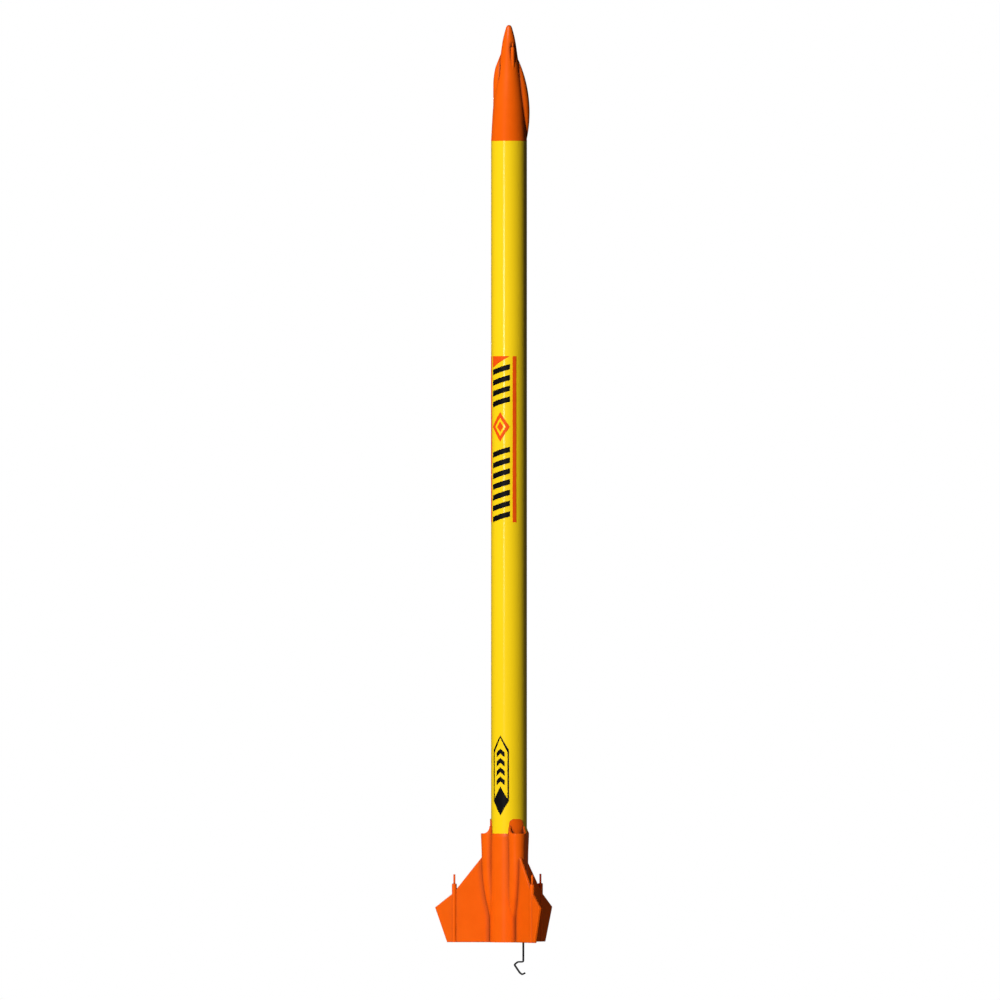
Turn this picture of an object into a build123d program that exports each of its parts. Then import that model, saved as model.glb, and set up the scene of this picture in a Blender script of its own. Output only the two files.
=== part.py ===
from build123d import *
import os
from math import cos, pi, radians, sin, tan

os.makedirs("parts", exist_ok=True)

# Slim model rocket, millimetres. The Z axis is the rocket's axis, pointing to the nose.
# The origin is on the axis at the mouth of the engine bay, the rear face of the fin can.
# XZ is the plane of symmetry: the canopy and the engine hook are on the +X side.

# ---- driving dimensions -------------------------------------------------------------

# airframe tube
tube_radius = 12.4
tube_wall = 0.33
tube_length = 552.0
tube_bore = tube_radius - tube_wall

# nose cone, heights measured up from the rim of the tube
nose_wall = 1.6
nose_length = 79.9
shoulder_length = 22.0
shoulder_radius = tube_bore - 0.07
cap_plug_length = 4.0
cap_disc = 2.0
eyelet_radius = 2.6
eyelet_wire = 0.9

# canopy, a spindle whose axis follows the cone from its tail to its tip
canopy_tail = (12.25, tube_length + 1.0)
canopy_tip = (6.5, tube_length + 56.0)
canopy_height = 4.4

# belly fairing, a bullet parallel to the rocket's axis
belly_offset = 5.6
belly_radius = 5.3
belly_tip = tube_length + 60.4
belly_tail = tube_length + 6.0
belly_length = 24.0
groove_width = 0.9
groove_depth = 0.8

# guns, on the nose and on the fin tips
nose_gun_offset = 5.9
nose_gun_radius = 1.4
nose_gun_root = tube_length + 36.0
nose_gun_shoulder = tube_length + 64.6
nose_gun_muzzle = tube_length + 67.3
nose_gun_barrel = 0.65
gun_angles = (60, 300)

# fin can, printed in one piece
fin_angles = (60, 180, 300)
glue_gap = 0.05
sleeve_bore = tube_radius + glue_gap
sleeve_radius = 13.1
sleeve_length = 75.0
sleeve_bevel_height = 2.1
sleeve_bevel_depth = 0.5
tongue_top = 85.0
tongue_width = 10.5
tongue_corner = 3.5
nacelle_offset = 13.1
nacelle_wall = 0.9
nacelle_floor = 58.0
scoop_sweep = 4.5
fin_thickness = 2.0
fin_edge = 0.6
fin_gun_offset = 37.8
fin_gun_radius = 1.7
fin_gun_shoulder = 40.4
fin_gun_muzzle = 46.8
fin_gun_barrel = 0.72

# engine mount for a motor 18 mm across and 70 mm long, whose rear end stands out of the mouth
motor_tube_radius = 9.35
motor_tube_bore = 9.02
motor_tube_length = 56.95
thrust_ring_bore = 7.75
thrust_ring_length = 6.3
ring_thickness = 6.0
rear_ring_height = 6.0
front_ring_height = 49.0
band_height = 24.0
band_length = 12.0
band_thickness = 0.3

# engine hook, a strip of spring steel bent at both ends
hook_width = 3.2
hook_thickness = 1.1
hook_centre = motor_tube_radius + hook_thickness / 2
hook_flex_height = 3.0
hook_tab_reach = 7.4
hook_bend = 0.8

# launch lug, a paper tube for a 3.2 mm rod
lug_angle = 120
lug_bore = 1.9
lug_wall = 0.3
lug_height = 10.0
lug_length = 60.0

# recovery gear packed in the front of the tube
cord_diameter = 1.5
cord_track = 10.85
coil_height = 413.0
coil_top = 421.0
coil_bore = 7.0
coil_radius = 11.7
pad_height = 480.0
pad_length = 30.0
pad_inside = 11.0
pad_angle = 44
chute_radius = 9.3
chute_bottom = 425.0
chute_top = 505.0
bundle_radius = 1.1
bundle_offset = 1.6
bundle_top = 523.5

# markings, thin film on the tube
film_gap = 0.02
film_thickness = 0.1
film_inside = tube_radius + film_gap
film_outside = film_inside + film_thickness
marking_angle = 245.5
marking_bottom = 289.3
marking_top = 403.7
marking_half_width = 6.7
bar_height = 3.7
bar_rise = 4.0
bar_pitch = 7.4
lower_bars = 7
upper_bars = 4
upper_bars_bottom = 368.4
diamond_height = 355.1
diamond_half_height = 10.2
diamond_opening = 0.62
diamond_core = 0.36
stripe_inside = 8.2
stripe_outside = 10.05
emblem_angle = 246.5
emblem_bottom = 87.5
emblem_top = 142.6
emblem_half_width = 5.9
emblem_point = 10.0
emblem_line = 0.85
emblem_chevrons = 4
emblem_chevron_half_width = 3.1
emblem_chevron_stroke = 3.4
emblem_chevron_rise = 2.6
emblem_chevron_pitch = 6.4
emblem_chevron_bottom = 108.3


# ---- shared outlines ----------------------------------------------------------------

def around(radius, angle):
    """A point at this distance from the rocket's axis, at this angle from +X."""
    return (radius * cos(radians(angle)), radius * sin(radians(angle)))


def outward_plane(angle):
    """A plane through the axis that faces outward, with its local Y along the axis."""
    out = (cos(radians(angle)), sin(radians(angle)), 0)
    side = (-sin(radians(angle)), cos(radians(angle)), 0)
    return Plane(origin=(0, 0, 0), x_dir=side, z_dir=out)


def axis_at(x, y):
    """An axis parallel to the rocket's own."""
    return Axis((x, y, 0), (0, 0, 1))


def side_plane(x, y):
    """An XZ plane whose origin is moved to this point."""
    return Plane(origin=(x, y, 0), x_dir=(1, 0, 0), z_dir=(0, -1, 0))


def gun_outline(root, shoulder, muzzle, radius, barrel):
    """Half the section of a gun pod with its thin barrel, seen from the side."""
    bevel = radius / 4
    lip = barrel / 4
    return [
        (0, root),
        (radius, root),
        (radius, shoulder - bevel),
        (radius - bevel, shoulder),
        (barrel, shoulder),
        (barrel, muzzle - lip),
        (barrel - lip, muzzle),
        (0, muzzle),
    ]


def tube_sleeve(outside, inside, bottom, top):
    """A plain round tube on the rocket's axis."""
    with BuildPart() as tube:
        with BuildSketch(Plane.XY.offset(bottom)):
            Circle(outside)
            Circle(inside, mode=Mode.SUBTRACT)
        extrude(amount=top - bottom)
    return tube.part


def corner_radii(points):
    """Radii for a cord's bends, as large as the shorter run beside each allows."""
    radii = []
    for before, here, after in zip(points, points[1:], points[2:]):
        run_in = Vector(*here) - Vector(*before)
        run_out = Vector(*after) - Vector(*here)
        half_turn = radians(run_in.get_angle(run_out)) / 2
        radii.append(0.45 * min(run_in.length, run_out.length) / tan(half_turn))
    print("cord bend radii", [round(radius, 1) for radius in radii])
    return radii


def cord_tube(points):
    """A round cord along straight runs joined by tangent arcs."""
    with BuildPart() as cord:
        with BuildLine() as route:
            FilletPolyline(*points, radius=corner_radii(points))
        start = Vector(*points[0])
        with BuildSketch(Plane(origin=start, z_dir=Vector(*points[1]) - start)):
            Circle(cord_diameter / 2)
        sweep(path=route.wires()[0])
    section = pi * cord_diameter ** 2 / 4
    print("cord volume / (section x length)", round(cord.part.volume / section / route.wires()[0].length, 3))
    return cord.part


# ---- nose ---------------------------------------------------------------------------

# outline of the nose from its base to its tip, (radius, height above the rim)
nose_points = [(tube_radius, 0), (10.5, 28.0), (8.1, 44.6), (5.3, 63.0), (4.3, 69.4), (2.4, 77.0),
               (0, nose_length)]
cavity_points = [(10.5, 4.0), (8.8, 28.0), (6.4, 44.6), (3.5, 61.0), (0, 69.0)]


def raised(points):
    """The same outline, with its heights measured from the origin."""
    return [(radius, tube_length + height) for radius, height in points]


# outlines of the belly fairing, and of the cut for the groove round its foot, which is wider
# near the tip and ends inside the fairing, (radius, depth below the tip)
fairing_points = [(0, 0), (1.9, 4.8), (3.8, 10.0), (4.8, 15.0), (belly_radius, belly_length)]
groove_points = [(0, -2 * groove_width), (1.9 + groove_width, 4.8), (3.8 + 0.8 * groove_width, 10.0),
                 (4.8 + 0.5 * groove_width, 15.0), (belly_radius - 0.05, belly_length)]


def below_tip(points):
    """The same outline on the far side of the fairing's axis, measured from its tip."""
    return [(-radius, belly_tip - depth) for radius, depth in points]


with BuildPart() as fairing_groove:
    with BuildSketch(side_plane(-belly_offset, 0)):
        with BuildLine():
            side = Spline(*below_tip(groove_points), tangents=[(-0.4, -1), (0, -1)])
            Polyline(side @ 1, (0, belly_tip - belly_length), side @ 0)
        make_face()
    revolve(axis=axis_at(-belly_offset, 0))
    # the nose below its skin stays whole
    with BuildSketch(Plane.XZ):
        with BuildLine():
            core = [(radius - groove_depth, height) for radius, height in nose_points[:-1]]
            core.append((0, nose_length - groove_depth))
            flank = Spline(*raised(core), tangents=[(-0.07, 1), (-1, 0)])
            Line(flank @ 1, (0, tube_length))
            Line((0, tube_length), flank @ 0)
        make_face()
    revolve(axis=Axis.Z, mode=Mode.SUBTRACT)

with BuildPart() as nose_cone:
    with BuildSketch(Plane.XZ):
        with BuildLine():
            flank = Spline(*raised(nose_points), tangents=[(-0.07, 1), (-1, 0)])
            Line(flank @ 1, (0, tube_length))
            Line((0, tube_length), flank @ 0)
        make_face()
    revolve(axis=Axis.Z)
    # canopy
    with BuildSketch(Plane.XZ):
        with BuildLine():
            Line(canopy_tail, canopy_tip)
            SagittaArc(canopy_tip, canopy_tail, -canopy_height)
        make_face()
    revolve(axis=Axis((canopy_tail[0], 0, canopy_tail[1]),
                      (canopy_tip[0] - canopy_tail[0], 0, canopy_tip[1] - canopy_tail[1])))
    # belly fairing, with a groove round its foot
    add(fairing_groove.part, mode=Mode.SUBTRACT)
    with BuildSketch(side_plane(-belly_offset, 0)):
        with BuildLine():
            side = Spline(*below_tip(fairing_points), tangents=[(-0.4, -1), (0, -1)])
            Polyline(side @ 1, (-belly_radius, belly_tail), (0, belly_tail), (0, belly_tip))
        make_face()
    revolve(axis=axis_at(-belly_offset, 0))
    # guns
    for angle in gun_angles:
        gun_x, gun_y = around(nose_gun_offset, angle)
        with BuildSketch(side_plane(gun_x, gun_y)):
            Polygon(*gun_outline(nose_gun_root, nose_gun_shoulder, nose_gun_muzzle,
                                 nose_gun_radius, nose_gun_barrel), align=None)
        revolve(axis=axis_at(gun_x, gun_y))
    # hollow inside
    with BuildSketch(Plane.XZ):
        with BuildLine():
            inside = Spline(*raised(cavity_points), tangents=[(0, 1), (-1, 0)])
            Polyline(inside @ 1, (0, tube_length), (cavity_points[0][0], tube_length), inside @ 0)
        make_face()
    revolve(axis=Axis.Z, mode=Mode.SUBTRACT)
    # shoulder that slides into the tube
    with BuildSketch(Plane.XY.offset(tube_length - shoulder_length)):
        Circle(shoulder_radius)
        Circle(shoulder_radius - nose_wall, mode=Mode.SUBTRACT)
    extrude(amount=shoulder_length + nose_wall)
nose_cone.part.label = "nose_cone"

cap_top = tube_length - shoulder_length
cap_bottom = cap_top - cap_disc
eyelet_height = cap_bottom - 1.0

with BuildPart() as nose_base_cap:
    with BuildSketch(Plane.XY.offset(cap_bottom)):
        Circle(shoulder_radius)
    extrude(amount=cap_disc)
    with BuildSketch(Plane.XY.offset(cap_top)):
        Circle(shoulder_radius - nose_wall - glue_gap)
    extrude(amount=cap_plug_length)
    with BuildSketch(Plane.XZ):
        with Locations((0, eyelet_height - eyelet_radius)):
            Circle(eyelet_wire)
    revolve(axis=Axis((0, 0, eyelet_height), (1, 0, 0)), revolution_arc=360)
nose_base_cap.part.label = "nose_base_cap"

# ---- airframe tube ------------------------------------------------------------------

body_tube = tube_sleeve(tube_radius, tube_bore, 0, tube_length)
body_tube.label = "body_tube"

# ---- fin can ------------------------------------------------------------------------

# round sections of a nacelle, (height, distance of its centre from the rocket's axis, radius);
# toward the rear they draw in until the last one lies inside the sleeve
nacelle_sections = [(16.0, 7.3, 5.75), (25.0, 9.35, 5.75), (31.0, 10.6, 5.75), (38.0, 11.75, 5.75),
                    (46.0, 12.65, 5.75), (55.0, nacelle_offset, 5.75), (66.0, nacelle_offset, 5.98),
                    (80.0, nacelle_offset, 5.65)]
bowl_radius = 5.8 - nacelle_wall
bowl_top = nacelle_sections[-1][0] + 1.0
# outline of a fin, (distance from the axis, height)
fin_points = [(12.8, 0), (12.8, 50.0), (18.2, 59.4), (35.3, 37.9), (39.6, 33.1), (51.1, 24.0), (42.8, 0)]

with BuildPart() as arches:
    for angle in fin_angles:
        with BuildSketch(outward_plane(angle)) as arch:
            with Locations((0, tongue_top / 2)):
                Rectangle(tongue_width, tongue_top)
            fillet(arch.vertices().group_by(Axis.Z)[-1], tongue_corner)
        extrude(amount=2 * sleeve_radius)

with BuildPart() as tongues:
    add(tube_sleeve(sleeve_radius, sleeve_bore, sleeve_length - 10.0, tongue_top))
    add(arches.part, mode=Mode.INTERSECT)

with BuildPart() as fin_blade:
    with BuildSketch(Plane.XZ):
        Polygon(*fin_points, align=None)
    extrude(amount=fin_thickness / 2, both=True)
    fillet(fin_blade.edges().filter_by(Axis.Y, reverse=True), fin_edge)

with BuildPart() as fin_unit:
    # nacelle, a hollow scoop that sinks into the sleeve toward the rear
    for height, centre, radius in nacelle_sections:
        with BuildSketch(Plane.XY.offset(height)):
            with Locations((centre, 0)):
                Circle(radius)
    loft()
    with BuildSketch(side_plane(nacelle_offset, 0)):
        with BuildLine():
            bowl = Spline((0, nacelle_floor), (bowl_radius, nacelle_floor + 6.0),
                          (bowl_radius - 0.3, bowl_top), tangents=[(1, 0), (-0.05, 1)])
            Polyline(bowl @ 1, (0, bowl_top), (0, nacelle_floor))
        make_face()
    revolve(axis=axis_at(nacelle_offset, 0), mode=Mode.SUBTRACT)
    # the mouth: a flat lip that sweeps up beside the sleeve
    with BuildSketch(Plane.XZ):
        with BuildLine():
            sweep_up = RadiusArc((sleeve_radius + scoop_sweep, sleeve_length),
                                 (sleeve_radius, sleeve_length + scoop_sweep), scoop_sweep)
            Polyline(sweep_up @ 1, (sleeve_radius, bowl_top), (2 * sleeve_radius, bowl_top),
                     (2 * sleeve_radius, sleeve_length), sweep_up @ 0)
        make_face()
    extrude(amount=10.0, both=True, mode=Mode.SUBTRACT)
    add(fin_blade.part)
    # gun in the blade
    with BuildSketch(side_plane(fin_gun_offset, 0)):
        Polygon(*gun_outline(0, fin_gun_shoulder, fin_gun_muzzle, fin_gun_radius, fin_gun_barrel),
                align=None)
    revolve(axis=axis_at(fin_gun_offset, 0))

with BuildPart() as fin_can:
    # sleeve with a bevelled front edge
    with BuildSketch(Plane.XZ):
        Polygon((0, 0), (sleeve_radius, 0), (sleeve_radius, sleeve_length - sleeve_bevel_height),
                (sleeve_radius - sleeve_bevel_depth, sleeve_length), (0, sleeve_length), align=None)
    revolve(axis=Axis.Z)
    with PolarLocations(0, 3, start_angle=fin_angles[0]):
        add(fin_unit.part)
    with BuildSketch(Plane.XY):
        Circle(sleeve_bore)
    extrude(amount=2 * tongue_top, mode=Mode.SUBTRACT)
    add(tongues.part)
fin_can.part.label = "fin_can"

# ---- engine mount -------------------------------------------------------------------

tab_gap = 0.1
hook_slot_width = hook_width + 2 * tab_gap
hook_clearance = hook_centre + hook_thickness / 2 + glue_gap

motor_tube = tube_sleeve(motor_tube_radius, motor_tube_bore, 0, motor_tube_length)
motor_tube.label = "motor_tube"

# the hook's front tab lies between the motor tube and the thrust ring
tab_centre = motor_tube_length + tab_gap + hook_thickness / 2
thrust_ring_bottom = tab_centre + hook_thickness / 2 + tab_gap
thrust_ring = tube_sleeve(tube_bore - glue_gap, thrust_ring_bore,
                          thrust_ring_bottom, thrust_ring_bottom + thrust_ring_length)
thrust_ring.label = "thrust_ring"


def centering_ring(height):
    """A board ring that holds the motor tube in the body tube, with a notch for the hook."""
    with BuildPart() as ring:
        add(tube_sleeve(tube_bore - glue_gap, motor_tube_radius + glue_gap, height, height + ring_thickness))
        with BuildSketch(Plane.XY.offset(height)):
            with Locations((hook_clearance / 2, 0)):
                Rectangle(hook_clearance, hook_slot_width)
        extrude(amount=ring_thickness, mode=Mode.SUBTRACT)
    return ring.part


centering_ring_front = centering_ring(front_ring_height)
centering_ring_front.label = "centering_ring_front"

centering_ring_rear = centering_ring(rear_ring_height)
centering_ring_rear.label = "centering_ring_rear"

# band that holds the hook to the motor tube
with BuildPart() as hook_retainer_band:
    with BuildSketch(Plane.XY.offset(band_height)):
        Circle(motor_tube_radius + glue_gap + band_thickness)
        with Locations((hook_clearance / 2, 0)):
            Rectangle(hook_clearance + 2 * band_thickness, hook_slot_width + 2 * band_thickness)
        with Locations((hook_clearance / 2, 0)):
            Rectangle(hook_clearance, hook_slot_width, mode=Mode.SUBTRACT)
        Circle(motor_tube_radius + glue_gap, mode=Mode.SUBTRACT)
    extrude(amount=band_length)
hook_retainer_band.part.label = "hook_retainer_band"


def hook_strip(points, radii):
    """A piece of the hook's flat strip that follows these points in the XZ plane."""
    with BuildPart() as strip:
        with BuildSketch(Plane.XZ):
            with BuildLine():
                FilletPolyline(*points, radius=radii)
            trace(line_width=hook_thickness)
        extrude(amount=hook_width / 2, both=True)
    return strip.part


# the fixed length, with its front tab, and the free end that springs aside
engine_hook_shank = hook_strip(
    [(hook_tab_reach, tab_centre), (hook_centre, tab_centre), (hook_centre, hook_flex_height)], hook_bend)
engine_hook_shank.label = "engine_hook_shank"

engine_hook_clip = hook_strip(
    [(hook_centre, hook_flex_height), (hook_centre, -13.45), (6.1, -13.5), (3.7, -15.4), (7.4, -20.9),
     (9.1, -22.2), (11.2, -21.1)], [0.9, 1.6, 0.8, 1.3, 1.0])
engine_hook_clip.label = "engine_hook_clip"

# ---- launch lug ---------------------------------------------------------------------

lug_radius = lug_bore + lug_wall
lug_offset = sleeve_radius + lug_radius + glue_gap / 2

with BuildPart() as launch_lug:
    with BuildSketch(Plane.XY.offset(lug_height)):
        with Locations(around(lug_offset, lug_angle)):
            Circle(lug_radius)
            Circle(lug_bore, mode=Mode.SUBTRACT)
    extrude(amount=lug_length)
launch_lug.part.label = "launch_lug"

# ---- recovery gear ------------------------------------------------------------------

with BuildPart() as shock_cord_mount:
    add(tube_sleeve(tube_bore - glue_gap, pad_inside, pad_height, pad_height + pad_length))
    # folded paper pad, on the -X wall only
    with BuildSketch(Plane.XY.offset(pad_height)):
        Polygon((0, 0), around(30, 180 - pad_angle / 2), around(30, 180 + pad_angle / 2), align=None)
    extrude(amount=pad_length, mode=Mode.INTERSECT)
shock_cord_mount.part.label = "shock_cord_mount"

tail_points = [(-cord_track, 0, pad_height), (-cord_track + 0.15, 0, 450.0), (-cord_track, 0, coil_top)]
shock_cord_tail = cord_tube(tail_points)
shock_cord_tail.label = "shock_cord_tail"

shock_cord_coil = tube_sleeve(coil_radius, coil_bore, coil_height, coil_top)
shock_cord_coil.label = "shock_cord_coil"

lead_points = [(cord_track, 0, coil_top), (10.65, 0, 449.0), (10.8, 0, 478.0), (10.4, 0, 505.5),
               (6.6, 0, 516.0), (1.6, 0, 522.6)]
shock_cord_lead = cord_tube(lead_points)
shock_cord_lead.label = "shock_cord_lead"

with BuildPart() as parachute_canopy:
    with BuildSketch(Plane.XY.offset(chute_bottom)):
        Circle(chute_radius)
    extrude(amount=chute_top - chute_bottom)
    fillet(parachute_canopy.edges(), 1.5)
parachute_canopy.part.label = "parachute_canopy"

with BuildPart() as shroud_lines:
    with BuildSketch(Plane.XY.offset(chute_top)):
        with Locations((-bundle_offset, 0)):
            Circle(bundle_radius)
    extrude(amount=bundle_top - chute_top)
shroud_lines.part.label = "shroud_lines"

# ---- markings -----------------------------------------------------------------------

def film(shapes):
    """Thin film on the tube where these outward solids cross its surface."""
    with BuildPart() as sheet:
        add(tube_sleeve(film_outside, film_inside, emblem_bottom - 1, marking_top + 1))
        add(shapes, mode=Mode.INTERSECT)
    return sheet.part


def slanted_bar(height, half_width, thickness, rise):
    """A bar across the tube that rises to one side, its lowest corner at this height."""
    Polygon((-half_width, height), (half_width, height + rise),
            (half_width, height + rise + thickness), (-half_width, height + thickness), align=None)


def chevron(height, half_width, thickness, rise):
    """A flat V that points to the nose, its lowest corners at this height."""
    Polygon((-half_width, height), (0, height + rise), (half_width, height),
            (half_width, height + thickness), (0, height + rise + thickness),
            (-half_width, height + thickness), align=None)


def diamond(height, half_width, half_height, mode=Mode.ADD):
    """A diamond centred at this height."""
    Polygon((0, height - half_height), (half_width, height), (0, height + half_height),
            (-half_width, height), align=None, mode=mode)


def long_hexagon(bottom, top, half_width, point, mode=Mode.ADD):
    """A tall hexagon with pointed ends."""
    Polygon((0, bottom), (half_width, bottom + point), (half_width, top - point), (0, top),
            (-half_width, top - point), (-half_width, bottom + point), align=None, mode=mode)


with BuildPart() as black_shapes:
    with BuildSketch(outward_plane(marking_angle)):
        for bottom, count in ((marking_bottom, lower_bars), (upper_bars_bottom, upper_bars)):
            for index in range(count):
                slanted_bar(bottom + index * bar_pitch, marking_half_width, bar_height, bar_rise)
    extrude(amount=2 * tube_radius)

black_markings = film(black_shapes.part)
black_markings.label = "black_markings"

with BuildPart() as orange_shapes:
    with BuildSketch(outward_plane(marking_angle)):
        for side in (-1, 1):
            stripe_centre = side * (stripe_inside + stripe_outside) / 2
            with Locations((stripe_centre, (marking_bottom + marking_top) / 2)):
                Rectangle(stripe_outside - stripe_inside, marking_top - marking_bottom)
        # diamond with a smaller one inside it
        diamond(diamond_height, marking_half_width, diamond_half_height)
        diamond(diamond_height, diamond_opening * marking_half_width, diamond_opening * diamond_half_height,
                mode=Mode.SUBTRACT)
        diamond(diamond_height, diamond_core * marking_half_width, diamond_core * diamond_half_height)
        # corner above the last bar
        Polygon((-marking_half_width, marking_top - 2 * bar_rise), (marking_half_width, marking_top),
                (-marking_half_width, marking_top), align=None)
    extrude(amount=2 * tube_radius)

orange_markings = film(orange_shapes.part)
orange_markings.label = "orange_markings"

# emblem: a long hexagonal outline with a solid lower point and chevrons stacked above it
with BuildPart() as emblem_shapes:
    with BuildSketch(outward_plane(emblem_angle)):
        long_hexagon(emblem_bottom, emblem_top, emblem_half_width, emblem_point)
        long_hexagon(emblem_bottom + 2 * emblem_line, emblem_top - 2 * emblem_line,
                     emblem_half_width - emblem_line, emblem_point, mode=Mode.SUBTRACT)
        diamond(emblem_bottom + emblem_point, emblem_half_width, emblem_point)
        for step in range(emblem_chevrons):
            chevron(emblem_chevron_bottom + emblem_chevron_pitch * step, emblem_chevron_half_width,
                    emblem_chevron_stroke, emblem_chevron_rise)
    extrude(amount=2 * tube_radius)

tail_emblem = film(emblem_shapes.part)
tail_emblem.label = "tail_emblem"

# ---- export -------------------------------------------------------------------------

finished = [
    nose_cone.part, nose_base_cap.part, body_tube, fin_can.part, motor_tube, thrust_ring,
    centering_ring_front, centering_ring_rear, hook_retainer_band.part, engine_hook_shank,
    engine_hook_clip, launch_lug.part, shock_cord_mount.part, shock_cord_tail, shock_cord_coil,
    shock_cord_lead, parachute_canopy.part, shroud_lines.part, black_markings, orange_markings, tail_emblem,
]
for piece in finished:
    export_step(piece, f"parts/{piece.label}.step")
    print(piece.label, "solids", len(piece.solids()), "volume", round(piece.volume, 1))
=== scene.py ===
import bmesh
import bpy
from math import cos, pi, radians, sin
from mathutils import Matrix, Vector


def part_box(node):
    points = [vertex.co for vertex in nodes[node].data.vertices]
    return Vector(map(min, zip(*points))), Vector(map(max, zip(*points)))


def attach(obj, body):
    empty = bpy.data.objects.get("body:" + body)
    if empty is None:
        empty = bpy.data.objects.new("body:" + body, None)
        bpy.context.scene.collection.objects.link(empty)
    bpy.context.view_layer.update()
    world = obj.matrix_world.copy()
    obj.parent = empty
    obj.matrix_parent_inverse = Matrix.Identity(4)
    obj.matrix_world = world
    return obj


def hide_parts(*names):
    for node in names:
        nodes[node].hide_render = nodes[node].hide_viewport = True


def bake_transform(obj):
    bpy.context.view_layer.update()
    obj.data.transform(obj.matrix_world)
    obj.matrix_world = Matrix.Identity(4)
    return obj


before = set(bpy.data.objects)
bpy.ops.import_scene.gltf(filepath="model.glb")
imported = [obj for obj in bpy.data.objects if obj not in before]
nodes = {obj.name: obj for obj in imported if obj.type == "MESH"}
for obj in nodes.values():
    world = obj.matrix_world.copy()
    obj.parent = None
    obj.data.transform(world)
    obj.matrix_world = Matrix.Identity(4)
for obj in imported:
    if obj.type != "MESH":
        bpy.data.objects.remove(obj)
scene = bpy.context.scene
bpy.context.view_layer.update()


# ---- sizes, worked out from the parts in model.glb ------------------------------------

nose_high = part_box("nose_cone")[1]
clip_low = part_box("engine_hook_clip")[0]
chute_low, chute_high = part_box("parachute_canopy")
lines_low, lines_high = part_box("shroud_lines")
rocket_top = nose_high.z
rocket_bottom = clip_low.z
rocket_middle = (rocket_top + rocket_bottom) / 2


# ---- camera ---------------------------------------------------------------------------

camera_azimuth = radians(5)  # round from -Y toward +X
view_span = 0.6889  # metres along the picture's longer side
view_offset = 0.0062  # the rocket stands this far right of the picture's middle
lens = 1100
sensor = 36
view_side = Vector((cos(camera_azimuth), sin(camera_azimuth), 0))
view_ahead = Vector((-sin(camera_azimuth), cos(camera_azimuth), 0))


def make_camera():
    """A long lens far away, level with the middle of the rocket, as a catalogue picture."""
    distance = view_span * lens / sensor
    target = Vector((0, 0, rocket_middle)) - view_side * view_offset
    data = bpy.data.cameras.new("camera")
    data.lens = lens
    data.sensor_width = sensor
    data.clip_start = 1
    data.clip_end = 2 * distance
    camera = bpy.data.objects.new("camera", data)
    camera.location = target - view_ahead * distance
    camera.rotation_euler = (pi / 2, 0, camera_azimuth)
    scene.collection.objects.link(camera)
    scene.camera = camera


make_camera()


# ---- materials ------------------------------------------------------------------------

class Shader:
    """A small helper to wire one material's nodes."""

    def __init__(self, name, roughness, coat=0.0, metallic=0.0, specular=0.5):
        self.material = bpy.data.materials.new(name)
        self.material.use_nodes = True
        self.tree = self.material.node_tree
        self.bsdf = self.tree.nodes["Principled BSDF"]
        self.bsdf.inputs["Roughness"].default_value = roughness
        self.bsdf.inputs["Metallic"].default_value = metallic
        self.bsdf.inputs["Coat Weight"].default_value = coat
        self.bsdf.inputs["Specular IOR Level"].default_value = specular
        self.coords = self.add("ShaderNodeTexCoord").outputs["Object"]

    def add(self, kind, **settings):
        node = self.tree.nodes.new(kind)
        for key, value in settings.items():
            if key in node.inputs:
                node.inputs[key].default_value = value
            else:
                setattr(node, key, value)
        return node

    def link(self, output, socket):
        self.tree.links.new(output, socket)

    def noise(self, scale, detail=4.0, stretch=None):
        """Noise over the object's own coordinates, stretched by these factors."""
        node = self.add("ShaderNodeTexNoise", Scale=scale, Detail=detail)
        source = self.coords
        if stretch:
            mapping = self.add("ShaderNodeMapping", Scale=stretch)
            self.link(source, mapping.inputs["Vector"])
            source = mapping.outputs["Vector"]
        self.link(source, node.inputs["Vector"])
        return node.outputs["Fac"]

    def ramp(self, factor, low, high, start=0.3, end=0.7):
        """Colours from low to high as the factor goes from start to end."""
        node = self.add("ShaderNodeValToRGB")
        node.color_ramp.elements[0].position = start
        node.color_ramp.elements[0].color = (*low, 1)
        node.color_ramp.elements[1].position = end
        node.color_ramp.elements[1].color = (*high, 1)
        self.link(factor, node.inputs["Fac"])
        return node.outputs["Color"]

    def span(self, factor, low, high):
        """The factor mapped from 0..1 to low..high."""
        node = self.add("ShaderNodeMapRange")
        node.inputs["To Min"].default_value = low
        node.inputs["To Max"].default_value = high
        self.link(factor, node.inputs["Value"])
        return node.outputs["Result"]

    def bump(self, height, distance, strength=1.0, under=None):
        node = self.add("ShaderNodeBump", Strength=strength, Distance=distance)
        self.link(height, node.inputs["Height"])
        if under:
            self.link(under, node.inputs["Normal"])
        return node.outputs["Normal"]

    def finish(self, colour, roughness=None, normal=None):
        self.link(colour, self.bsdf.inputs["Base Color"])
        if roughness:
            self.link(roughness, self.bsdf.inputs["Roughness"])
        if normal:
            self.link(normal, self.bsdf.inputs["Normal"])
        return self.material


def place_of(shader):
    """The object's own X, Y and Z at each point, as three numbers."""
    split = shader.add("ShaderNodeSeparateXYZ")
    shader.link(shader.coords, split.inputs["Vector"])
    return split.outputs


def compute(shader, operation, first, second):
    """One arithmetic step; the second value may be a number or a socket."""
    node = shader.add("ShaderNodeMath", operation=operation)
    shader.link(first, node.inputs[0])
    if isinstance(second, (int, float)):
        node.inputs[1].default_value = second
    else:
        shader.link(second, node.inputs[1])
    return node.outputs["Value"]


def waves(shader, value, pitch):
    """A smooth wave of this pitch along the value, from -1 to 1."""
    turns = compute(shader, "MULTIPLY", value, 2 * pi / pitch)
    node = shader.add("ShaderNodeMath", operation="SINE")
    shader.link(turns, node.inputs[0])
    return node.outputs["Value"]


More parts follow.
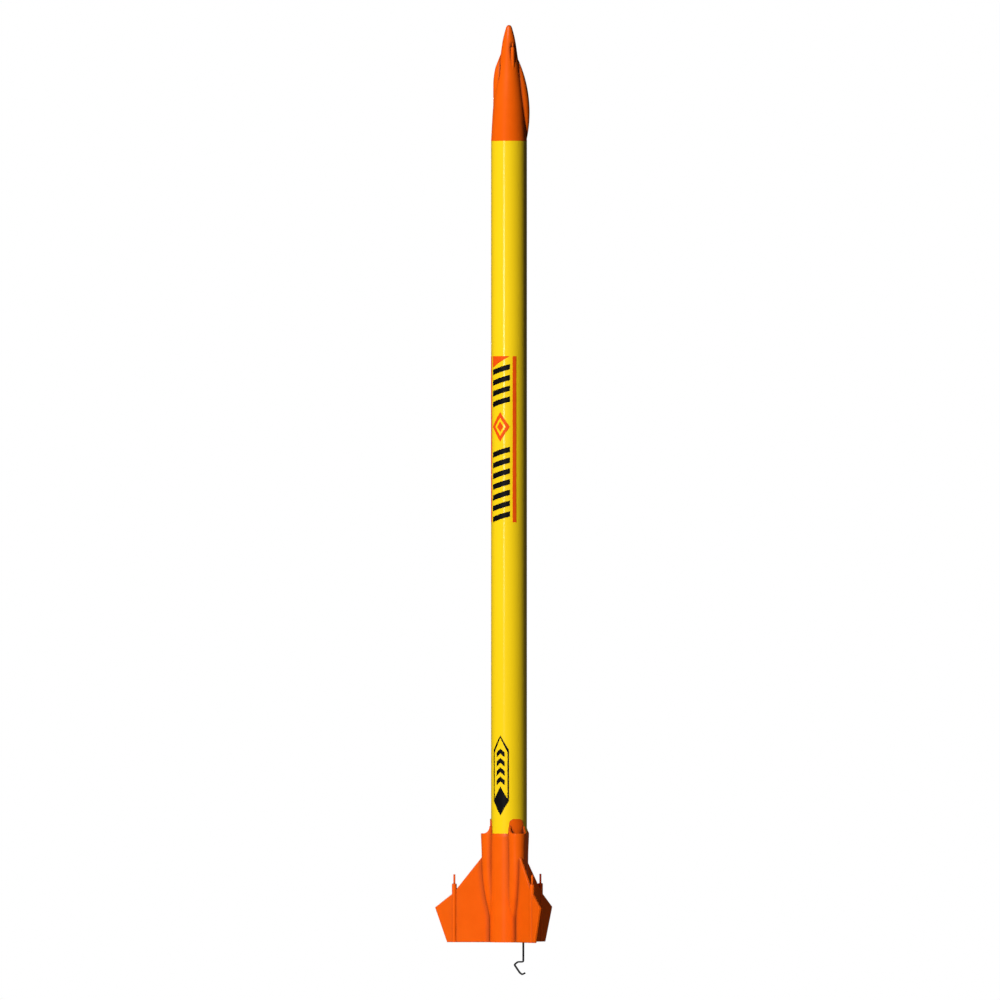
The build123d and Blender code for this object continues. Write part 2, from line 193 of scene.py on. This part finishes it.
def painted_corner_shade(shader, colour, openness, depth):
    """Painted shade: the colour, darker by this depth where other surfaces stand close."""
    corner_shade = compute(shader, "POWER", openness, depth)
    mixed = shader.add("ShaderNodeMixRGB", blend_type="MULTIPLY", Fac=1.0)
    shader.link(colour, mixed.inputs["Color1"])
    shader.link(corner_shade, mixed.inputs["Color2"])
    return mixed.outputs["Color"]


def orange_print(name, corner, depth, gloss):
    """Semi-gloss printed plastic with fine layer lines, with painted shade darkening its corners,
    which are also rougher.
    """
    s = Shader(name, roughness=0.3, specular=gloss)
    mottle = s.noise(90, detail=5)
    colour = s.ramp(mottle, (0.84, 0.108, 0.0022), (0.88, 0.118, 0.0028))
    layers = waves(s, place_of(s)["Z"], 0.0003)
    rounded = s.add("ShaderNodeBevel", Radius=0.0004)
    grain = s.bump(s.noise(1400), 0.00001, 0.15, under=rounded.outputs["Normal"])
    lines = s.bump(layers, 0.00001, 0.12, under=grain)
    openness = s.add("ShaderNodeAmbientOcclusion", Distance=corner).outputs["AO"]
    dullness = compute(s, "MULTIPLY", compute(s, "SUBTRACT", openness, 1), -2)
    roughness = compute(s, "ADD", s.span(mottle, 0.26, 0.34), dullness)
    # painted shade: ambient occlusion darkens the colour where surfaces close in, and raises the
    # roughness there
    return s.finish(painted_corner_shade(s, colour, openness, depth), roughness, lines)


def spiral_seam(shader, pitch, sharpness):
    """1 along a line that climbs one pitch in each turn round the tube, fading to 0 beside it."""
    point = place_of(shader)
    turn = compute(shader, "ARCTAN2", point["Y"], point["X"])
    climb = compute(shader, "MULTIPLY", point["Z"], 2 * pi / pitch)
    node = shader.add("ShaderNodeMath", operation="COSINE")
    shader.link(compute(shader, "SUBTRACT", climb, turn), node.inputs[0])
    facing = compute(shader, "MAXIMUM", node.outputs["Value"], 0)
    return compute(shader, "POWER", facing, sharpness)


def yellow_tube():
    """Glossy coated paper, wound in a spiral, with a faint seam and small dents."""
    s = Shader("yellow_tube", roughness=0.45, coat=1.0, specular=0.1)
    s.bsdf.inputs["Coat Roughness"].default_value = 0.1
    mottle = s.noise(40, detail=3, stretch=(1, 1, 0.2))
    colour = s.ramp(mottle, (0.93, 0.625, 0.0055), (0.97, 0.655, 0.0065))
    fibres = s.bump(s.noise(500, stretch=(1, 1, 0.15)), 0.00003, 0.15)
    seam = compute(s, "MULTIPLY", spiral_seam(s, pitch=0.065, sharpness=600), -1)
    joint = s.bump(seam, 0.000008, 1.0, under=fibres)
    return s.finish(colour, s.span(mottle, 0.4, 0.5), joint)


def paper(name, dark, light):
    """Matt wound paper with fibres."""
    s = Shader(name, roughness=0.85)
    fibres = s.noise(600, stretch=(1, 1, 0.2))
    colour = s.ramp(fibres, dark, light)
    return s.finish(colour, s.span(fibres, 0.78, 0.92), s.bump(fibres, 0.00005, 0.5))


def spring_steel():
    """Blackened spring steel, rubbed brighter in places."""
    s = Shader("spring_steel", roughness=0.4, metallic=0.3)
    rub = s.noise(250, detail=6)
    colour = s.ramp(rub, (0.006, 0.006, 0.007), (0.03, 0.03, 0.033), 0.45, 0.75)
    return s.finish(colour, s.span(rub, 0.35, 0.5), s.bump(s.noise(3000), 0.00001, 0.3))


def film(name, dark, light):
    """Thin printed film with a satin surface."""
    s = Shader(name, roughness=0.4, specular=0.12)
    mottle = s.noise(300)
    colour = s.ramp(mottle, dark, light)
    return s.finish(colour, s.span(mottle, 0.35, 0.45), s.bump(mottle, 0.00001, 0.2))


def woven(name, dark, light, pitch):
    """Thread or braid, with strands that cross at this pitch whichever way the piece lies."""
    s = Shader(name, roughness=0.8)
    point = place_of(s)
    across = compute(s, "MULTIPLY", waves(s, point["X"], pitch), waves(s, point["Y"], pitch))
    strands = compute(s, "ADD", across, waves(s, point["Z"], pitch))
    fuzz = s.noise(1500)
    raised = compute(s, "ADD", compute(s, "MULTIPLY", strands, 0.25), 0.5)
    colour = s.ramp(raised, dark, light, 0, 1)
    return s.finish(colour, s.span(fuzz, 0.7, 0.9), s.bump(strands, 0.0001, 0.5))


def thin_film(name, dark, light):
    """Crinkled plastic film with a soft gloss."""
    s = Shader(name, roughness=0.35, specular=0.4)
    crinkle = s.noise(220, detail=6, stretch=(1, 1, 0.4))
    colour = s.ramp(crinkle, dark, light)
    return s.finish(colour, s.span(crinkle, 0.28, 0.45), s.bump(crinkle, 0.0008, 0.8))


def set_material(material, *names):
    """Gives these CAD nodes one material."""
    for name in names:
        slots = nodes[name].material_slots
        for slot in slots:
            slot.material = material
        if not slots:
            nodes[name].data.materials.append(material)


# both orange prints get painted shade in their corners: corner is how far it reaches and depth how
# strong it is
set_material(orange_print("nose_print", corner=0.003, depth=4.5, gloss=0.08),
             "nose_cone", "nose_base_cap")
set_material(orange_print("tail_print", corner=0.004, depth=1.8, gloss=0.16), "fin_can")
set_material(yellow_tube(), "body_tube")
set_material(paper("kraft_paper", (0.28, 0.17, 0.08), (0.42, 0.28, 0.15)),
             "motor_tube", "thrust_ring")
set_material(paper("fibre_board", (0.36, 0.28, 0.18), (0.5, 0.41, 0.28)),
             "centering_ring_front", "centering_ring_rear")
set_material(paper("white_paper", (0.66, 0.65, 0.61), (0.8, 0.79, 0.75)),
             "launch_lug", "shock_cord_mount")
set_material(spring_steel(), "engine_hook_shank", "engine_hook_clip")
set_material(film("clear_band", (0.6, 0.6, 0.57), (0.7, 0.7, 0.67)), "hook_retainer_band")
set_material(film("black_film", (0.002, 0.002, 0.003), (0.004, 0.004, 0.005)),
             "black_markings", "tail_emblem")
set_material(film("orange_film", (0.78, 0.075, 0.003), (0.86, 0.09, 0.004)), "orange_markings")
elastic_braid = woven("elastic_cord", (0.5, 0.47, 0.4), (0.74, 0.72, 0.64), pitch=0.0007)
thread = woven("line_thread", (0.55, 0.53, 0.48), (0.78, 0.76, 0.71), pitch=0.0003)
canopy_film = thin_film("canopy_film", (0.68, 0.1, 0.008), (0.86, 0.17, 0.02))

for node in nodes.values():
    node.data.shade_smooth()


# ---- recovery gear: cords and parachute -------------------------------------------------

def cord_curve(name, points, diameter=0.0):
    """A smooth curve that these control points pull into shape, round if it has a diameter."""
    data = bpy.data.curves.new(name, "CURVE")
    data.dimensions = "3D"
    data.resolution_u = 6
    data.bevel_depth = diameter / 2
    data.bevel_resolution = 3
    data.use_fill_caps = True
    spline = data.splines.new("NURBS")
    spline.points.add(len(points) - 1)
    for control, point in zip(spline.points, points):
        control.co = (*point, 1)
    spline.order_u = 3
    spline.use_endpoint_u = True
    return bpy.data.objects.new(name, data)


def along(points):
    """The points of the smooth curve that these control points make."""
    route = cord_curve("route", points)
    line = bpy.data.meshes.new_from_object(route)
    places = [vertex.co.copy() for vertex in line.vertices]
    bpy.data.meshes.remove(line)
    bpy.data.curves.remove(route.data)
    return places


def round_turn(count):
    """This many angles, evenly spaced round one turn."""
    return [2 * pi * step / count for step in range(count)]


def tube_mesh(name, points, radius, closed=False, sides=12):
    """A round tube through these points, capped unless it closes on itself."""
    count = len(points)
    made = bmesh.new()
    rings = []
    side = None
    for index, point in enumerate(points):
        after = points[(index + 1) % count] if closed else points[min(index + 1, count - 1)]
        before = points[index - 1] if closed else points[max(index - 1, 0)]
        ahead = (after - before).normalized()
        side = side or ahead.orthogonal()
        side = (side - ahead * side.dot(ahead)).normalized()
        up = ahead.cross(side)
        rings.append([made.verts.new(point + radius * (side * cos(turn) + up * sin(turn)))
                      for turn in round_turn(sides)])
    pairs = list(zip(rings, rings[1:]))
    if closed:
        pairs.append((rings[-1], rings[0]))
    else:
        made.faces.new(reversed(rings[0]))
        made.faces.new(rings[-1])
    for near, far in pairs:
        for step in range(sides):
            after = (step + 1) % sides
            made.faces.new((near[step], near[after], far[after], far[step]))
    return mesh_object(name, made)


def mesh_object(name, made):
    """An object from this bmesh, with smooth shading."""
    mesh = bpy.data.meshes.new(name)
    made.to_mesh(mesh)
    made.free()
    mesh.shade_smooth()
    return bpy.data.objects.new(name, mesh)


def place(obj, material, body=None):
    """Puts a piece in the scene with its material, riding on this body."""
    obj.data.materials.append(material)
    scene.collection.objects.link(obj)
    if body:
        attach(obj, body)
    return obj


def polar(radius, angle, height):
    """A point at this distance from the rocket's axis."""
    return (radius * cos(angle), radius * sin(angle), height)


def knot(name, centre, size, thickness):
    """A cord drawn up in a small tight knot."""
    points = []
    for turn in round_turn(48):
        across = sin(turn) + 2 * sin(2 * turn)
        up = cos(turn) - 2 * cos(2 * turn)
        points.append(centre + size * Vector((across, -sin(3 * turn), up)))
    return tube_mesh(name, points, thickness / 2, closed=True)


cord_diameter = 0.0015

# the shock cord, glued under its pad and coiled below the parachute: down along the
# tube's wall and back up inside those turns, as (turns so far, radius, height)
coil_stations = [
    (0.1, 0.01095, 0.4200), (1, 0.01095, 0.4179), (2, 0.01095, 0.4162), (2.5, 0.01095, 0.4154),
    (3, 0.0108, 0.4139), (3.5, 0.01005, 0.4138), (4, 0.0093, 0.4139), (4.5, 0.0093, 0.4153),
    (6.3, 0.0093, 0.4200), (6.42, 0.0102, 0.4206),
]
coil_steps = 14


def coil_points():
    """The coil's control points, spread evenly between each station and the next."""
    points = []
    for station, following in zip(coil_stations, coil_stations[1:]):
        start, radius, height = station
        end, next_radius, next_height = following
        steps = max(1, round((end - start) * coil_steps))
        for step in range(steps):
            share = step / steps
            turn = start + share * (end - start)
            points.append(polar(radius + share * (next_radius - radius), pi + 2 * pi * turn,
                                height + share * (next_height - height)))
    return points


shock_cord_points = [
    (-0.01085, 0, 0.480), (-0.0107, 0, 0.450), (-0.01085, 0, 0.428), (-0.01085, 0, 0.421),
    *coil_points(), (0.01085, 0, 0.4206), (0.01085, 0, 0.426),
]
shock_cord = place(cord_curve("shock_cord", shock_cord_points, cord_diameter), elastic_braid,
                   "airframe")
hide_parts("shock_cord_tail", "shock_cord_coil")

# its other end, from the coil up to the nose's eyelet
lead_points = [
    (0.01085, 0, 0.421), (0.01065, 0, 0.449), (0.0108, 0, 0.478), (0.0104, 0, 0.5055),
    (0.0066, 0, 0.516), (0.0016, 0, 0.5226),
]
lead_line = along(lead_points)
lead = place(tube_mesh("shock_cord_end", lead_line, cord_diameter / 2), elastic_braid)
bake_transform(lead)
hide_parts("shock_cord_lead")
eyelet_bar = lines_high.z + 0.0009  # the height of the eyelet's lower bar
loop_radius = 0.00175
loop_points = [Vector((loop_radius * cos(turn), 0, eyelet_bar + loop_radius * sin(turn)))
               for turn in round_turn(24)]
loop = place(tube_mesh("shock_cord_loop", loop_points, cord_diameter / 2, closed=True),
             elastic_braid, "nose")
knot_place = Vector((0.0014, 0, 0.5218))
cord_knot = place(knot("shock_cord_knot", knot_place, size=0.0005, thickness=0.0013),
                  elastic_braid, "nose")

# the parachute, a hexagon of film 305 mm across its flats, folded and rolled up
chute_area = 0.0806
roll_height = chute_high.z - chute_low.z
roll_slack = 1.1  # what the crumples and the uneven ends take up
roll_length = roll_slack * chute_area / roll_height
roll_radius = chute_high.x - 0.0004  # just inside the lines wound round it
roll_core = 0.0006
roll_margin = 0.0025  # from the roll's mean edges to the ends of its room
roll_uneven = 0.0012
roll_pitch = pi * (roll_radius ** 2 - roll_core ** 2) / roll_length
roll_steps = 44
roll_rows = 26


def crumple(angle, share):
    """How far the roll's radius is pulled in at this angle and share of its height."""
    pleats = abs(sin(1.5 * angle + 5 * share)) + 0.6 * abs(sin(2.5 * angle - 9 * share + 1))
    ends = abs(2 * share - 1) ** 8
    return 1 - 0.04 * pleats - 0.018 * sin(7 * angle + 22 * share) - 0.16 * ends


def rolled_canopy():
    """One sheet wound in a spiral, its layers crumpled together and its edges uneven."""
    made = bmesh.new()
    count = round((roll_radius - roll_core) / roll_pitch * roll_steps)
    columns = []
    for step in range(count + 1):
        angle = 2 * pi * step / roll_steps
        radius = roll_radius - roll_pitch * step / roll_steps
        column = []
        for row in range(roll_rows + 1):
            share = row / roll_rows
            uneven = roll_uneven * (sin(0.37 * angle) + sin(1.3 * angle + 2)) * (2 * share - 1)
            height = chute_low.z + roll_margin + share * (roll_height - 2 * roll_margin) + uneven
            column.append(made.verts.new(polar(radius * crumple(angle, share), angle, height)))
        columns.append(column)
    for left, right in zip(columns, columns[1:]):
        for row in range(roll_rows):
            made.faces.new((left[row], right[row], right[row + 1], left[row + 1]))
    return mesh_object("rolled_canopy", made)


canopy = place(rolled_canopy(), canopy_film, "nose")
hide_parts("parachute_canopy")

# six shroud lines, twisted together below the eyelet and wound round the rolled canopy
line_count = 6
line_diameter = 0.0005
line_gap = 0.0006
line_turns = 4.75
line_steps = 12
bundle_centre = (lines_low.x + lines_high.x) / 2
bundle_radius = 0.00055
wind_radius = chute_high.x
wind_top = chute_high.z - 0.006


def shroud_line(index):
    """The control points of one line."""
    spread = index - (line_count - 1) / 2
    points = []
    for height, twist in ((lines_high.z - 0.0003, 0), (0.518, 1), (0.513, 2), (0.5085, 3)):
        turn = 2 * pi * index / line_count + twist * radians(50)
        across = bundle_centre + bundle_radius * cos(turn)
        points.append((across, bundle_radius * sin(turn), height))
    side = spread * line_gap
    points.append((-0.0045, side, chute_high.z + 0.0013))
    points.append((-0.0078, side, chute_high.z + 0.0002))
    start = pi - spread * line_gap / wind_radius
    points.append(polar(wind_radius, start, chute_high.z - 0.003))
    for step in range(round(line_turns * line_steps) + 1):
        turn = step / line_steps
        height = wind_top - line_gap * (index + line_count * turn)
        points.append(polar(wind_radius, start + 2 * pi * turn, height))
    return points


lines_exit = (bundle_centre, 0, lines_high.z)
for index in range(line_count):
    line = place(cord_curve(f"shroud_line_{index + 1}", shroud_line(index), line_diameter), thread,
                 "nose")
    if index == 0:
        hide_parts("shroud_lines")
place(knot("shroud_line_knot", Vector(lines_exit), size=0.0004, thickness=0.0008),
      thread, "nose")


# ---- stage ----------------------------------------------------------------------------

def softbox(name, azimuth, elevation, distance, width, height, power, aim=rocket_middle):
    """A softbox at this bearing from the camera's side, aimed at this height on the axis."""
    target = Vector((0, 0, aim))
    data = bpy.data.lights.new(name, "AREA")
    data.shape = "RECTANGLE"
    data.size = width
    data.size_y = height
    data.energy = power
    light = bpy.data.objects.new(name, data)
    level = -view_ahead * cos(azimuth) + view_side * sin(azimuth)
    light.location = target + distance * (level * cos(elevation) + Vector((0, 0, sin(elevation))))
    light.rotation_euler = (target - light.location).to_track_quat("-Z", "Y").to_euler()
    light.visible_camera = False
    scene.collection.objects.link(light)
    return light


# the light that falls on the rocket: a key from the left, a small fill near the tail and two
# lights for its far side
key_azimuth = radians(-32)
far = 6.0
wide = 0.9
key = softbox("key", key_azimuth, radians(10), far, wide, wide, power=415)
fill = softbox("fill", radians(50), radians(-15), 0.35, 0.1, 0.1, power=0.095, aim=0.03)
back_right = softbox("back_right", radians(166), radians(4), far, wide, wide, power=320)
back_left = softbox("back_left", radians(-157), radians(4), far, wide, wide, power=200)
for light in (key, fill, back_right, back_left):
    light.visible_glossy = False

# and the light that shows as reflections: a high one, and two panels for the tube's gloss
high = softbox("high_gloss", key_azimuth, radians(42), far, wide, wide, power=620)
tall = softbox("tall_gloss", key_azimuth, 0, 3.0, 0.4, 0.5, power=0.3, aim=0.36)
short = softbox("short_gloss", key_azimuth, 0, 3.0, 0.4, 0.3, power=6.0, aim=0.43)
for light in (high, tall, short):
    light.visible_diffuse = False

# a pale floor, a little bright of its own, that throws no light back
floor_mesh = bpy.data.meshes.new("floor")
floor_half = 4.5
floor_height = rocket_bottom - 0.3
floor_glow = 0.55
corners = [(x * floor_half, y * floor_half, floor_height)
           for x, y in ((-1, -1), (1, -1), (1, 1), (-1, 1))]
floor_mesh.from_pydata(corners, [], [(0, 1, 2, 3)])
floor = bpy.data.objects.new("floor", floor_mesh)
pale = Shader("pale_floor", roughness=0.9)
pale.bsdf.inputs["Emission Color"].default_value = (1, 1, 1, 1)
pale.bsdf.inputs["Emission Strength"].default_value = floor_glow
pale_colour = pale.ramp(pale.noise(3), (0.84, 0.84, 0.84), (0.86, 0.86, 0.86))
floor_mesh.materials.append(pale.finish(pale_colour))
scene.collection.objects.link(floor)
floor.visible_diffuse = False
floor.visible_glossy = False

# the backdrop is white to the camera and nearly dark to the rocket
seen_strength = 1.0
ambient_strength = 0.035
world = bpy.data.worlds.new("studio")
world.use_nodes = True
tree = world.node_tree
seen = tree.nodes["Background"]
seen.inputs["Color"].default_value = (1, 1, 1, 1)
seen.inputs["Strength"].default_value = seen_strength
ambient = tree.nodes.new("ShaderNodeBackground")
ambient.inputs["Color"].default_value = (1, 1, 1, 1)
ambient.inputs["Strength"].default_value = ambient_strength
choice = tree.nodes.new("ShaderNodeMixShader")
tree.links.new(tree.nodes.new("ShaderNodeLightPath").outputs["Is Camera Ray"], choice.inputs["Fac"])
tree.links.new(ambient.outputs["Background"], choice.inputs[1])
tree.links.new(seen.outputs["Background"], choice.inputs[2])
tree.links.new(choice.outputs["Shader"], tree.nodes["World Output"].inputs["Surface"])
scene.world = world
scene.view_settings.view_transform = "Standard"
